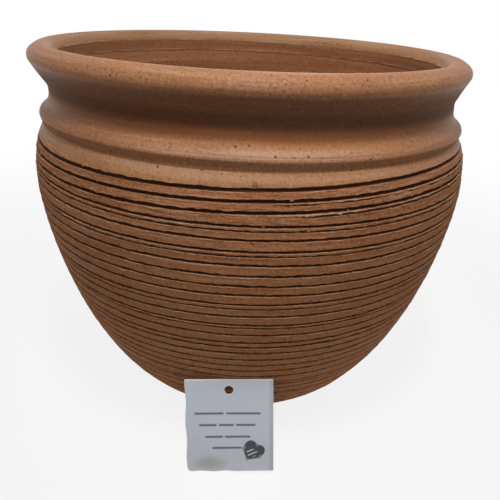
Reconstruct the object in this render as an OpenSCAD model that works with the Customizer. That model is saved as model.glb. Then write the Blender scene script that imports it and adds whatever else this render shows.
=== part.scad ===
// Wheel-thrown clay flower pot with a rolled rim and a grooved belly, and the card tag that leans on it.
// Millimetres, +Z up. The origin is the middle of the foot, on the floor that pot and tag stand on.

/* [Rim] */
// Outer diameter across the rolled rim
rim_d = 260; // [220:1:320]
// Height of the rim's crest above the floor
pot_h = 226; // [190:1:280]
// Thickness of the rolled rim at its crest
rim_roll_d = 14; // [12:0.2:15.6]
// How far the rim's crest lies in from its edge
rim_crest_in = 8; // [7.4:0.1:12]
// Thickness of the rim's rounded edge
rim_edge_d = 10; // [8:0.2:11]
// Depth of the middle of the rim's edge below its crest
rim_edge_drop = 6.6; // [6:0.1:8]
// Slope of the bevel under the rim's edge, in degrees from upright
rim_bevel = 31; // [27:1:38]

/* [Neck and bead] */
// How far the neck is drawn in from the rim's edge
neck_in = 8.7; // [7:0.1:9.8]
// Depth below the rim's crest where the neck begins to run out into the bead
neck_drop = 27.5; // [25:0.5:30]
// Radius of the hollow between the rim's bevel and the neck
neck_round_r = 8; // [4:0.5:9]
// How far the bead's crown stays in from the rim's edge
bead_in = 2.6; // [0:0.1:4]
// Depth of the bead's crown below the rim's crest
bead_drop = 37.9; // [36.5:0.1:39]
// Thickness of the bead
bead_d = 8; // [5:0.2:9]
// How far the step under the bead lies in from the rim's edge
step_in = 4.3; // [2:0.1:5]
// Depth of the step under the bead below the rim's crest
step_drop = 43.5; // [42.5:0.5:46]

/* [Belly and foot] */
// How far the belly's widest ring stands out past the rim's edge
belly_out = 1.6; // [0:0.1:12]
// Depth of the belly's widest ring below the rim's crest
belly_drop = 74; // [60:1:100]
// Thickness of the wall
wall = 8.5; // [6:0.1:11]
// Diameter of the foot
foot_d = 98; // [80:1:140]
// Height of the foot's upright edge
foot_edge_h = 3; // [1:0.5:8]
// Slope of the wall where it leaves the foot, in degrees above the floor
foot_slope = 19; // [15:1:40]
// Thickness of the floor
floor_t = 12; // [8:0.5:16]
// Diameter of the drain hole
drain_d = 20; // [10:0.5:30]

/* [Grooves] */
// Depth of the topmost groove below the rim's crest
groove_start_drop = 49.5; // [47:0.5:56]
// Number of wide grooves at the top of the belly
wide_count = 3; // [0:1:8]
// Width of a wide groove
wide_groove_w = 2.2; // [1.6:0.1:2.4]
// Depth of a wide groove
wide_groove_depth = 1.8; // [0.6:0.1:2.5]
// Width of a narrow groove
groove_w = 1.5; // [0.8:0.1:1.8]
// Depth of a narrow groove
groove_depth = 1.1; // [0.4:0.1:2]
// Height of the plain band between the foot's edge and the lowest groove
groove_free_h = 3; // [2:0.5:12]

/* [Tag] */
// Width of the tag
tag_w = 50; // [30:1:70]
// Height of the tag
tag_h = 57; // [30:1:75]
// Thickness of the card
tag_t = 1; // [0.5:0.1:2]
// Radius of the tag's corners
tag_corner_r = 0.8; // [0.3:0.1:5]
// Diameter of the punched hole
tag_hole_d = 5; // [3:0.5:8]
// Distance from the tag's top edge to the middle of the hole
tag_hole_drop = 6.5; // [5:0.5:12]
// Distance from the tag's middle to the pot's middle, to the right
tag_x = -5; // [-12:0.5:12]
// Lean of the tag back onto the belly, in degrees
tag_lean = 10.5; // [4:0.5:20]
// Turn of the tag up onto its left corner, in degrees
tag_turn = 2.5; // [0:0.5:6]

/* [Hidden] */

// Spacing from one groove to the next, from the top down, as the hand on the turning tool left it
groove_gaps = [5, 5.5, 6.5, 2.5, 4.5, 6, 2.5, 5, 6, 6, 5.5, 6, 3, 5, 6, 2, 5, 6, 3.5, 5, 5.5, 5];
// Free space between the leaning tag and the belly
tag_gap = 0.4;
// Lengths over which the wall's curves keep the direction of their ends
step_pull = 8;
shoulder_pull = 20;
belly_pull = 24;
foot_pull = 62;
// Slope of the shoulder where it leaves the step, in degrees below the horizontal
step_slope = 61;
// Angle below the bead's crown at which its lower edge is cut
bead_cut_angle = 15;
// Steps in a rounded stretch of the profile, and facets round the axis for preview
arc_steps = 9;
round_facets = 180;

rim_r = rim_d / 2;
roll_r = rim_roll_d / 2;
edge_r = rim_edge_d / 2;
bead_r = bead_d / 2;
roll_c = [rim_r - rim_crest_in, pot_h - roll_r];
edge_c = [rim_r - edge_r, pot_h - rim_edge_drop];
neck_p = [rim_r - neck_in, pot_h - neck_drop];
bead_c = [rim_r - bead_in - bead_r, pot_h - bead_drop];
step_p = [rim_r - step_in, pot_h - step_drop];
belly_p = [rim_r + belly_out, pot_h - belly_drop];
foot_p = [foot_d / 2, foot_edge_h];

// Cubic curves of the outer wall: step to belly, and belly to foot
shoulder = [
    step_p,
    step_p + step_pull * [cos(step_slope), -sin(step_slope)],
    belly_p + [0, shoulder_pull],
    belly_p,
];
lower = [
    belly_p,
    belly_p - [0, belly_pull],
    foot_p + foot_pull * [cos(foot_slope), sin(foot_slope)],
    foot_p,
];

// Points along an arc; first is 1 where the stretch before it ends on its first point
function arc(c, r, from, to, steps = arc_steps, first = 0) = [
    for (i = [first:steps]) let (a = from + (to - from) * i / steps) c + r * [cos(a), sin(a)]
];

function curve(p, t) =
    let (u = 1 - t) u * u * u * p[0] + 3 * u * u * t * p[1] + 3 * u * t * t * p[2] + t * t * t * p[3];

function curve_slope(p, t) =
    let (u = 1 - t) u * u * (p[1] - p[0]) + 2 * u * t * (p[2] - p[1]) + t * t * (p[3] - p[2]);

// Point of a wall curve, moved into the pot by the depth that is asked for
function wall_point(p, depth, t) =
    let (d = curve_slope(p, t)) curve(p, t) + depth * [d.y, -d.x] / norm(d);

// Place along a falling wall curve where it passes a height, found by halving
function place_at(p, depth, z, low = 0, high = 1, left = 30) =
    let (mid = (low + high) / 2)
    left == 0 ? mid
    : wall_point(p, depth, mid).y > z ? place_at(p, depth, z, mid, high, left - 1)
    : place_at(p, depth, z, low, mid, left - 1);

// Point of the plain outer wall at a height
function outer_at(z) =
    let (p = z > belly_p.y ? shoulder : lower) curve(p, place_at(p, 0, z));

// Direction from one point to another, in degrees
function bearing(from, to) = atan2(to.y - from.y, to.x - from.x);

function turned_round(points) = [for (i = [len(points) - 1:-1:0]) points[i]];

// Angle at which the crest's arc gives way, along their common tangent, to the edge's arc
edge_start = bearing(roll_c, edge_c) + acos((roll_r - edge_r) / norm(edge_c - roll_c));

// Bevel under the rim's edge, and the centre of the hollow that runs it into the upright neck
bevel_out = [cos(rim_bevel), -sin(rim_bevel)];
bevel_down = [-sin(rim_bevel), -cos(rim_bevel)];
bevel_p = edge_c + edge_r * bevel_out;
bevel_len = (bevel_p.x - neck_p.x) / sin(rim_bevel) - neck_round_r * tan(rim_bevel / 2);
neck_c = bevel_p + bevel_len * bevel_down + neck_round_r * bevel_out;

// Arc that leaves the neck upright and runs into the bead
neck_to_bead = neck_p - bead_c;
lower_r = (neck_to_bead * neck_to_bead - bead_r ^ 2) / (2 * (bead_r - neck_to_bead.x));
lower_c = neck_p + [lower_r, 0];
bead_start = bearing(bead_c, lower_c);

// Heights of the grooves, from the top down
function groove_z(i) =
    i == 0 ? pot_h - groove_start_drop : groove_z(i - 1) - groove_gaps[(i - 1) % len(groove_gaps)];
lowest_groove_z = foot_edge_h + groove_free_h;
most_grooves = ceil(pot_h / min(groove_gaps));
groove_heights = [for (i = [0:most_grooves]) let (z = groove_z(i)) if (z > lowest_groove_z) z];

// The two edges of a groove and its bottom between them
function groove_points(i) =
    let (
        half = (i < wide_count ? wide_groove_w : groove_w) / 2,
        depth = i < wide_count ? wide_groove_depth : groove_depth,
        top = outer_at(groove_heights[i] + half),
        bottom = outer_at(groove_heights[i] - half),
        along = (bottom - top) / norm(bottom - top)
    )
    [top, (top + bottom) / 2 + depth * [along.y, -along.x], bottom];

// Outside of the pot from the rim's crest down to the foot
shoulder_end = place_at(shoulder, 0, groove_heights[0] + wide_groove_w);
outside = concat(
    arc(roll_c, roll_r, 90, edge_start, 2),
    arc(edge_c, edge_r, edge_start, -rim_bevel),
    arc(neck_c, neck_round_r, 180 - rim_bevel, 180, 4),
    arc(lower_c, lower_r, 180, bead_start + 180, 5),
    arc(bead_c, bead_r, bead_start, -bead_cut_angle, 7, 1),
    [for (i = [0:arc_steps]) curve(shoulder, shoulder_end * i / arc_steps)],
    [for (i = [0:len(groove_heights) - 1]) each groove_points(i)],
    [foot_p, [foot_p.x, 0]]
);

// Inside of the pot from the rim's crest down to the floor: the same curves, one wall further in.
// The crest's arc turns down to a plain lip, which ends in a crease where the neck's curve begins.
inner_shoulder = wall_point(shoulder, wall, 0);
neck_end = acos((lower_c.x - inner_shoulder.x) / (lower_r + wall));
floor_end = place_at(lower, wall, floor_t);
inside = concat(
    arc(roll_c, roll_r, 90, 180),
    arc(neck_c, neck_round_r + wall, 180 - rim_bevel, 180, 4),
    arc(lower_c, lower_r + wall, 180, 180 + neck_end, 5),
    [for (i = [0:arc_steps - 1]) wall_point(shoulder, wall, i / arc_steps)],
    [for (i = [0:2 * arc_steps]) wall_point(lower, wall, floor_end * i / (2 * arc_steps))]
);

module pot_body() {
    inside_below_crest = [for (i = [1:len(inside) - 1]) inside[i]];
    floor_edge = [[drain_d / 2, 0], [drain_d / 2, floor_t]];
    color("#a96f4a")
    rotate_extrude($fn = round_facets)
    polygon(concat(outside, floor_edge, turned_round(inside_below_crest)));
}

// Outline of the card, with its lower left corner at the origin
module tag_outline() {
    translate([tag_corner_r, 0]) square([tag_w - 2 * tag_corner_r, tag_h]);
    translate([0, tag_corner_r]) square([tag_w, tag_h - 2 * tag_corner_r]);
    for (x = [tag_corner_r, tag_w - tag_corner_r], y = [tag_corner_r, tag_h - tag_corner_r])
        translate([x, y]) circle(tag_corner_r, $fn = round_facets);
}

// The card stands on its left corner and its upper edge rests against the belly
module hang_tag() {
    reach = tag_h * cos(tag_turn) + tag_w / 2 * sin(tag_turn);
    touch_r = outer_at(reach * cos(tag_lean)).x + tag_gap;
    color("#ccd3dd")
    translate([tag_x - tag_w / 2, -touch_r - reach * sin(tag_lean), 0])
    rotate([-tag_lean, 0, 0])
    rotate([0, -tag_turn, 0])
    rotate([90, 0, 0])
    linear_extrude(tag_t)
    difference() {
        tag_outline();
        translate([tag_w / 2, tag_h - tag_hole_drop]) circle(d = tag_hole_d, $fn = round_facets);
    }
}

pot_body();
hang_tag();
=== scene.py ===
"""Looks of a wheel-thrown clay flower pot and of the card tag that leans on it.

The pot is one closed wall profile carried round the axis and then put out of true as hand and wheel leave it:
a rim that tips, grooves that wander and die out, torn lips where the tool dragged the clay. Sizes are in
millimetres until a mesh is made. Angles on the pot are counted from the front, towards the right.
"""

import logging
from dataclasses import dataclass, field
from enum import Enum

import bmesh
import bpy
import numpy as np
from mathutils import Matrix, Vector


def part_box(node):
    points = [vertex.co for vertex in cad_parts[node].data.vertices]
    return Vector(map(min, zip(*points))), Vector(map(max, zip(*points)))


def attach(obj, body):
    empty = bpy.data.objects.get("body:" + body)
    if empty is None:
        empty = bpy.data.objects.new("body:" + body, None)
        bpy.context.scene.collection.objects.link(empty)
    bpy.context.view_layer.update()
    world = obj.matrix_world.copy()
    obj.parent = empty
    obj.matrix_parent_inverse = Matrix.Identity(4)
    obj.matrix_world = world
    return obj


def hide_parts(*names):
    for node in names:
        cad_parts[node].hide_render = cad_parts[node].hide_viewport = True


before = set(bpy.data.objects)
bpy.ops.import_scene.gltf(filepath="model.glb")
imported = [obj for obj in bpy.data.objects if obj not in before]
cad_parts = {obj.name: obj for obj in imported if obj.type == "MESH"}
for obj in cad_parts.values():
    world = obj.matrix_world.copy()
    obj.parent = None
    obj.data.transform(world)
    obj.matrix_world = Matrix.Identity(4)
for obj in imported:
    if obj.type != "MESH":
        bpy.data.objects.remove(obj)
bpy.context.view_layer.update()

Array = np.ndarray
Colour = tuple[float, float, float, float]

MM = 0.001
TURN = 2 * np.pi
log = logging.getLogger("flower_pot")


def linear(hex_colour: str) -> Colour:
    """Turn an sRGB hex colour into linear light.

    Args:
        hex_colour: Colour such as "#ba8762".

    Returns:
        Linear red, green and blue, with alpha 1.
    """
    codes = [int(hex_colour[i:i + 2], 16) / 255 for i in (1, 3, 5)]
    channels = [c / 12.92 if c <= 0.04045 else ((c + 0.055) / 1.055) ** 2.4 for c in codes]
    return (*channels, 1.0)


def add_node(tree: bpy.types.NodeTree, kind: str, settings: dict | None = None,
             inputs: dict | None = None) -> bpy.types.Node:
    """Add a node with its settings and links.

    Args:
        tree: Node tree of a material or of the world.
        kind: Blender's name for the kind of node.
        settings: Properties of the node, by name.
        inputs: By name or index, a value for a socket or the output that is linked to it.

    Returns:
        The new node.
    """
    node = tree.nodes.new(kind)
    for name, value in (settings or {}).items():
        setattr(node, name, value)
    for key, value in (inputs or {}).items():
        if isinstance(value, bpy.types.NodeSocket):
            tree.links.new(value, node.inputs[key])
        else:
            node.inputs[key].default_value = value
    return node


def new_material(name: str) -> tuple[bpy.types.Material, bpy.types.NodeTree]:
    """Start an empty node material.

    Args:
        name: Name of the real material.

    Returns:
        The material and its node tree.
    """
    material = bpy.data.materials.new(name)
    material.use_nodes = True
    material.node_tree.nodes.clear()
    return material, material.node_tree


def layer(tree: bpy.types.NodeTree, base: str, pattern: dict[str, bpy.types.NodeSocket], coats: tuple,
          fade: str = "SMOOTHSTEP") -> bpy.types.NodeSocket:
    """Lay coats of colour over a base, each where its pattern shows.

    Args:
        tree: Node tree of a material.
        base: Colour under the coats, as sRGB hex.
        pattern: Output of each pattern, by name.
        coats: Name of a pattern, where it begins and is full, its share at most and its colour.
        fade: Blender's name for the way a coat fades in.

    Returns:
        Output of the colour on top.
    """
    colour: bpy.types.NodeSocket | Colour = linear(base)
    for name, low, high, share, tint in coats:
        amount = add_node(tree, "ShaderNodeMapRange", {"interpolation_type": fade}, {
            "Value": pattern[name], "From Min": low, "From Max": high, "To Max": share})
        mix = add_node(tree, "ShaderNodeMix", {"data_type": "RGBA"}, {
            0: amount.outputs[0], 6: colour, 7: linear(tint)})
        colour = mix.outputs[2]
    return colour


def smooth_step(low: float, high: float, value: Array) -> Array:
    """Rise smoothly from 0 at low to 1 at high.

    Args:
        low: Value where the rise begins.
        high: Value where it ends.
        value: Values to place on the rise.

    Returns:
        Shares from 0 to 1, of the shape of value.
    """
    share = np.clip((value - low) / (high - low), 0, 1)
    return share * share * (3 - 2 * share)


def between(ends: tuple[float, float], share: Array) -> Array:
    """Go from one value to another.

    Args:
        ends: Values at share 0 and at share 1.
        share: Shares from 0 to 1.

    Returns:
        Values of the shape of share.
    """
    return ends[0] + (ends[1] - ends[0]) * share


def make_piece(name: str, points: Array, faces: list, marks: dict[str, Array] | None = None,
               uvs: Array | None = None) -> bpy.types.Object:
    """Make a smooth-shaded mesh object.

    Args:
        name: Name of the piece.
        points: Vertices in millimetres, one row each.
        faces: Vertex numbers of each face.
        marks: Named values, one per vertex, that the finish reads.
        uvs: Map coordinates of every face corner, in order, for baking.

    Returns:
        The object, linked to the scene.
    """
    mesh = bpy.data.meshes.new(name)
    mesh.from_pydata((points * MM).tolist(), [], faces)
    for mark, values in (marks or {}).items():
        attribute = mesh.attributes.new(mark, "FLOAT", "POINT")
        attribute.data.foreach_set("value", np.asarray(values, np.float32).ravel())
    if uvs is not None:
        bake_map = mesh.uv_layers.new(name="OFBake")
        bake_map.data.foreach_set("uv", np.asarray(uvs, np.float32).ravel())
    mesh.polygons.foreach_set("use_smooth", [True] * len(mesh.polygons))
    mesh.update()
    piece = bpy.data.objects.new(name, mesh)
    bpy.context.scene.collection.objects.link(piece)
    return piece


def ring_faces(rows: int, columns: int, close_rows: bool = True) -> Array:
    """Number the quads of a grid that closes on itself round its columns.

    Args:
        rows: Rings of vertices.
        columns: Vertices in a ring.
        close_rows: Whether the last ring joins the first one.

    Returns:
        Vertex numbers, four per quad.
    """
    row = np.arange(rows if close_rows else rows - 1)[:, None]
    column = np.arange(columns)[None, :]
    above = (row + 1) % rows
    beside = (column + 1) % columns
    corners = ((row, column), (row, beside), (above, beside), (above, column))
    return np.stack([r * columns + c for r, c in corners], axis=-1).reshape(-1, 4)


class RingNoise:
    """Smooth seeded noise on a wall that closes on itself round the axis."""

    def __init__(self, seed: int, around: int, along: int = 1) -> None:
        """Draw the random values.

        Args:
            seed: Seed of the draw.
            around: Cells round the axis.
            along: Cells along the wall before the noise repeats.
        """
        self._lattice = np.random.default_rng(seed).uniform(-1, 1, (along, around))

    def at(self, turn: Array, along: Array | float = 0.0) -> Array:
        """Read the noise.

        Args:
            turn: Angles in radians.
            along: Places along the wall, counted in cells.

        Returns:
            Values from -1 to 1.
        """
        rows, columns = self._lattice.shape
        across, along = np.broadcast_arrays(turn / TURN * columns, along)
        column = np.floor(across).astype(int)
        row = np.floor(along).astype(int)
        beside = smooth_step(0, 1, across - column)
        above = smooth_step(0, 1, along - row)
        near = self._lattice[row % rows, column % columns] * (1 - beside)
        near = near + self._lattice[row % rows, (column + 1) % columns] * beside
        far = self._lattice[(row + 1) % rows, column % columns] * (1 - beside)
        far = far + self._lattice[(row + 1) % rows, (column + 1) % columns] * beside
        return near * (1 - above) + far * above


def arc(centre: Array, radius: float, start: float, end: float, steps: int = 60) -> Array:
    """Place points along an arc.

    Args:
        centre: Centre of the arc.
        radius: Radius of the arc.
        start: Angle of the first point, in degrees.
        end: Angle of the last point, in degrees.
        steps: Number of points.

    Returns:
        Points, one row each.
    """
    angle = np.radians(np.linspace(start, end, steps))
    return centre + radius * np.column_stack([np.cos(angle), np.sin(angle)])


def cubic(handles: list, inward: float = 0.0, steps: int = 240) -> Array:
    """Place points along a cubic curve, or along a parallel to it inside the wall.

    Args:
        handles: The four points of the curve.
        inward: Distance of the parallel from the curve.
        steps: Number of points.

    Returns:
        Points, one row each.
    """
    a, b, c, d = (np.asarray(p, float) for p in handles)
    t = np.linspace(0, 1, steps)[:, None]
    u = 1 - t
    points = u ** 3 * a + 3 * u * u * t * b + 3 * u * t * t * c + t ** 3 * d
    slope = u * u * (b - a) + 2 * u * t * (c - b) + t * t * (d - c)
    normal = np.column_stack([slope[:, 1], -slope[:, 0]])
    return points + inward * normal / np.linalg.norm(normal, axis=1, keepdims=True)


def bearing(start: Array, end: Array) -> float:
    """Direction from one point to another, in degrees."""
    return float(np.degrees(np.arctan2(end[1] - start[1], end[0] - start[0])))


@dataclass
class Wall:
    """Closed cross-section of the pot, as radius and height by arc length.

    It runs from the drain hole along the underside, up the outside, over the rim, down the inside and back
    through the drain hole.
    """

    rim_r: float = 130.0
    height: float = 226.0
    crest_r: float = 7.0
    crest_in: float = 8.0
    edge_r: float = 5.0
    edge_drop: float = 6.6
    bevel: float = 31.0
    neck_in: float = 8.7
    neck_drop: float = 27.5
    neck_round: float = 8.0
    bead_in: float = 2.6
    bead_drop: float = 38.9
    bead_r: float = 4.0
    bead_cut: float = 0.5
    bead_line: float = 24.0
    bead_line_depth: float = 0.25
    step_in: float = 4.3
    step_drop: float = 43.5
    step_slope: float = 61.0
    step_pull: float = 8.0
    shoulder_pull: float = 20.0
    belly_out: float = 1.6
    belly_drop: float = 74.0
    belly_pull: float = 24.0
    foot_r: float = 49.0
    foot_edge: float = 3.0
    foot_slope: float = 19.0
    foot_pull: float = 62.0
    crease_drop: float = 13.2
    thickness: float = 8.5
    floor_t: float = 12.0
    drain_r: float = 10.0
    soft_edge: float = 0.2
    table_step: float = 0.1
    start: dict[str, float] = field(init=False)

    def __post_init__(self) -> None:
        """Join the stretches, soften their corners and tabulate them."""
        stretches = self._stretches()
        line = np.concatenate([points[:-1] for points in stretches.values()])
        line = np.vstack([line, line[:1]])
        run = np.concatenate([[0], np.cumsum(np.linalg.norm(np.diff(line, axis=0), axis=1))])
        counts = np.cumsum([0] + [len(points) - 1 for points in stretches.values()])
        self.start = dict(zip(stretches, run[counts]))
        self.length = float(run[-1])
        self._places = np.linspace(0, self.length, int(self.length / self.table_step), endpoint=False)
        table = np.column_stack([np.interp(self._places, run, line[:, k]) for k in (0, 1)])
        reach = int(self.soft_edge / self.table_step)
        for _ in range(2):
            table = np.mean([np.roll(table, shift, axis=0) for shift in range(-reach, reach + 1)], axis=0)
        slope = np.roll(table, -1, axis=0) - np.roll(table, 1, axis=0)
        slope /= np.linalg.norm(slope, axis=1, keepdims=True)
        self._points = table
        self._normals = np.column_stack([slope[:, 1], -slope[:, 0]])
        turning = np.roll(slope, -1, axis=0) - slope
        self._curvature = np.linalg.norm(turning, axis=1) / self.table_step

    def _stretches(self) -> dict[str, Array]:
        """Draw the named stretches of the section, each from the end of the one before it.

        Returns:
            Points of each stretch, in order.
        """
        top, rim, wall = self.height, self.rim_r, self.thickness
        crest_c = np.array([rim - self.crest_in, top - self.crest_r])
        edge_c = np.array([rim - self.edge_r, top - self.edge_drop])
        neck = np.array([rim - self.neck_in, top - self.neck_drop])
        bead_c = np.array([rim - self.bead_in - self.bead_r, top - self.bead_drop])
        step = np.array([rim - self.step_in, top - self.step_drop])
        belly = np.array([rim + self.belly_out, top - self.belly_drop])
        foot = np.array([self.foot_r, self.foot_edge])
        bead_edge = arc(bead_c, self.bead_r, -self.bead_cut, -self.bead_cut, 1)[0]

        bevel, step_angle, foot_angle = np.radians([self.bevel, -self.step_slope, self.foot_slope])
        shoulder = [
            step,
            step + self.step_pull * np.array([np.cos(step_angle), np.sin(step_angle)]),
            belly + [0, self.shoulder_pull],
            belly,
        ]
        lower = [
            belly,
            belly - [0, self.belly_pull],
            foot + self.foot_pull * np.array([np.cos(foot_angle), np.sin(foot_angle)]),
            foot,
        ]

        taper = (self.crest_r - self.edge_r) / np.linalg.norm(edge_c - crest_c)
        edge_start = bearing(crest_c, edge_c) + np.degrees(np.arccos(taper))
        out, down = np.array([[np.cos(bevel), -np.sin(bevel)], [-np.sin(bevel), -np.cos(bevel)]])
        bevel_top = edge_c + self.edge_r * out
        bevel_run = (bevel_top[0] - neck[0]) / np.sin(bevel) - self.neck_round * np.tan(bevel / 2)
        neck_c = bevel_top + bevel_run * down + self.neck_round * out
        lower_r = self._neck_arc_r(neck - bead_c, self.bead_r)
        lower_c = neck + [lower_r, 0]
        bead_start = bearing(bead_c, lower_c)
        inner_shoulder = cubic(shoulder, wall)
        neck_turn = np.degrees(np.arccos((lower_c[0] - inner_shoulder[0, 0]) / (lower_r + wall)))
        inner_lower = cubic(lower, wall)
        inner_lower = inner_lower[inner_lower[:, 1] > self.floor_t]
        drain_edges = [np.array([self.drain_r, z]) for z in (0, self.floor_t)]

        ends = {
            "underside": np.linspace(drain_edges[0], (self.foot_r, 0), 20),
            "foot": np.linspace((self.foot_r, 0), foot, 20),
            "belly": np.vstack([cubic(lower)[::-1], cubic(shoulder)[::-1]]),
            "step": np.linspace(step, bead_edge, 20),
            "bead": np.vstack([
                arc(bead_c, self.bead_r, -self.bead_cut, self.bead_line - 5, 12),
                arc(bead_c, self.bead_r - self.bead_line_depth, self.bead_line, self.bead_line, 1),
                arc(bead_c, self.bead_r, self.bead_line + 5, bead_start),
            ]),
            "neck": np.vstack([
                arc(lower_c, lower_r, bead_start + 180, 180),
                arc(neck_c, self.neck_round, 180, 180 - self.bevel),
            ]),
            "rim": np.vstack([
                arc(edge_c, self.edge_r, -self.bevel, edge_start),
                arc(crest_c, self.crest_r, edge_start, 180),
            ]),
            "inside": np.vstack([
                [(rim - self.crest_in - self.crest_r, top - self.crease_drop)],
                arc(neck_c, self.neck_round + wall, 180 - 0.4 * self.bevel, 180),
                arc(lower_c, lower_r + wall, 180, 180 + neck_turn),
                inner_shoulder,
                inner_lower,
            ]),
            "floor": np.linspace((inner_lower[-1, 0] - self.soft_edge, self.floor_t), drain_edges[1], 20),
            "drain": np.linspace(drain_edges[1], drain_edges[0], 20),
        }
        firsts = [points[:1] for points in ends.values()]
        return {name: np.vstack([ends[name], after]) for name, after in zip(ends, [*firsts[1:], firsts[0]])}

    @staticmethod
    def _neck_arc_r(offset: Array, radius: float) -> float:
        """Radius of the arc that stands upright at the neck and runs into a round edge."""
        return float((offset @ offset - radius ** 2) / (2 * (radius - offset[0])))

    def point(self, place: Array) -> Array:
        """Radius and height at places along the section, in the last axis."""
        return self._read(self._points, place)

    def normal(self, place: Array) -> Array:
        """Outward direction at places along the section, in the last axis."""
        return self._read(self._normals, place)

    def _read(self, table: Array, place: Array) -> Array:
        """Interpolate a table of pairs.

        Args:
            table: Pairs by arc length.
            place: Places to read.

        Returns:
            Pairs, in the last axis.
        """
        columns = [np.interp(place, self._places, table[:, k], period=self.length) for k in (0, 1)]
        return np.stack(columns, axis=-1)

    def place_at(self, height: Array | float) -> Array:
        """Places on the outside of the belly at given heights."""
        rows = (self._places >= self.start["foot"]) & (self._places <= self.start["bead"])
        return np.interp(height, self._points[rows, 1], self._places[rows])

    def stations(self, start: float, end: float, gap: float, bend: float = 17.0) -> Array:
        """Spread places closer where the section bends.

        Args:
            start: First place.
            end: Place where the next stretch begins.
            gap: Widest gap between places on a straight stretch.
            bend: Turn in degrees that takes one more place.

        Returns:
            Places from start up to, and not including, end.
        """
        rows = (self._places >= start) & (self._places < end)
        need = np.cumsum(1 / gap + self._curvature[rows] / np.radians(bend)) * self.table_step
        count = int(np.ceil(need[-1]))
        return np.interp(np.arange(count) / count * need[-1], need, self._places[rows])


class GrooveKind(Enum):
    """Cuts of the turning tool: width, depth and height of the torn lip under them."""

    WIDE = (1.9, 1.8, 0.16)
    PLAIN = (1.55, 1.2, 0.12)
    THIN = (1.1, 0.8, 0.08)
    HAIRLINE = (0.8, 0.5, 0.05)


@dataclass(frozen=True)
class Groove:
    """One ring that the tool cut into the belly, or part of a ring."""

    height: float
    kind: GrooveKind
    tilt: float = 0.0
    span: tuple[float, float] | None = None
    fade: float = 9.0

    def strength(self, turn: Array) -> Array:
        """How far the tool was pressed in round the pot.

        Args:
            turn: Angles in radians.

        Returns:
            Shares from 0 to 1.
        """
        if self.span is None:
            return np.ones_like(turn)
        angle = (np.degrees(turn) + 180) % 360 - 180
        start, end = self.span
        return smooth_step(start - self.fade, start, angle) * (1 - smooth_step(end, end + self.fade, angle))


@dataclass
class Rings:
    """Rings of vertices along the wall: places, lift off it, marks, and which ones are sharp edges."""

    columns: int
    place: list[Array] = field(default_factory=list)
    lift: list[Array] = field(default_factory=list)
    recess_shade: list[Array] = field(default_factory=list)
    lip: list[Array] = field(default_factory=list)
    sharp: list[bool] = field(default_factory=list)

    def add(self, place: Array | float, lift: Array | float = 0.0, recess_shade: Array | float = 0.0,
            lip: Array | float = 0.0, sharp: bool = False) -> None:
        """Add one ring; a number stands for the same value all round.

        Args:
            place: Places along the wall.
            lift: Height off the wall.
            recess_shade: How far the ring is sunk, and how dark it is painted as shade.
            lip: How far it is torn and pale, the pale partly grain and partly painted highlight.
            sharp: Whether it is a sharp edge.
        """
        self.sharp.append(sharp)
        for rows, value in ((self.place, place), (self.lift, lift), (self.recess_shade, recess_shade), (self.lip, lip)):
            rows.append(np.broadcast_to(np.asarray(value, float), self.columns))

    def spread(self, wall: Wall, *stretches: tuple[float, float, float]) -> None:
        """Add plain rings along stretches of the wall.

        Args:
            wall: The wall.
            stretches: First place, end and widest gap of each stretch.
        """
        for first, last, gap in stretches:
            for place in wall.stations(first, last, gap):
                self.add(place)

    def fold(self, place: float, offsets: tuple[float, ...], lift: Array, recess_shade: Array | float = 0.0,
             lip: Array | float = 0.0, sharp: bool = False) -> None:
        """Add a narrow ridge or line, whose first and last rings stay on the wall.

        Args:
            place: Middle of the fold.
            offsets: Its rings, from the middle.
            lift: Height of the rings between the first and the last.
            recess_shade: How far these are sunk, and how dark they are painted as shade.
            lip: How far these are torn and pale, the pale partly grain and partly painted highlight.
            sharp: Whether these are sharp edges.
        """
        for offset in offsets:
            if offset in (offsets[0], offsets[-1]):
                self.add(place + offset)
            else:
                self.add(place + offset, lift, recess_shade, lip, sharp)


@dataclass(frozen=True)
class Zone:
    """Heights over which something fades in along the wall and, where it does, out again further up."""

    rise: tuple[float, float]
    fall: tuple[float, float] | None = None

    def at(self, height: Array) -> Array:
        """Share at given heights, from 0 to 1."""
        share = smooth_step(*self.rise, height)
        return share if self.fall is None else share * (1 - smooth_step(*self.fall, height))


@dataclass
class Skin:
    """Grid of places on the wall, ring by ring, and the stretches of the section that they lie on."""

    wall: Wall
    place: Array
    turn: Array

    def __post_init__(self) -> None:
        """Sort the places by stretch."""
        place, start = self.place, self.wall.start
        self.height = self.wall.point(place)[..., 1]
        self.depth = place - start["inside"]
        self.facing = np.clip(np.cos(self.turn), 0, 1)
        self.outside = (place > start["belly"]) & (self.depth < 0)
        self.inside = (self.depth >= 0) & (place < start["floor"])
        self.outer = self.outside & (place < (start["rim"] + start["inside"]) / 2)
        self.band = (place > start["step"] + 0.3) & (place < start["bead"] - 0.2)


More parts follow.
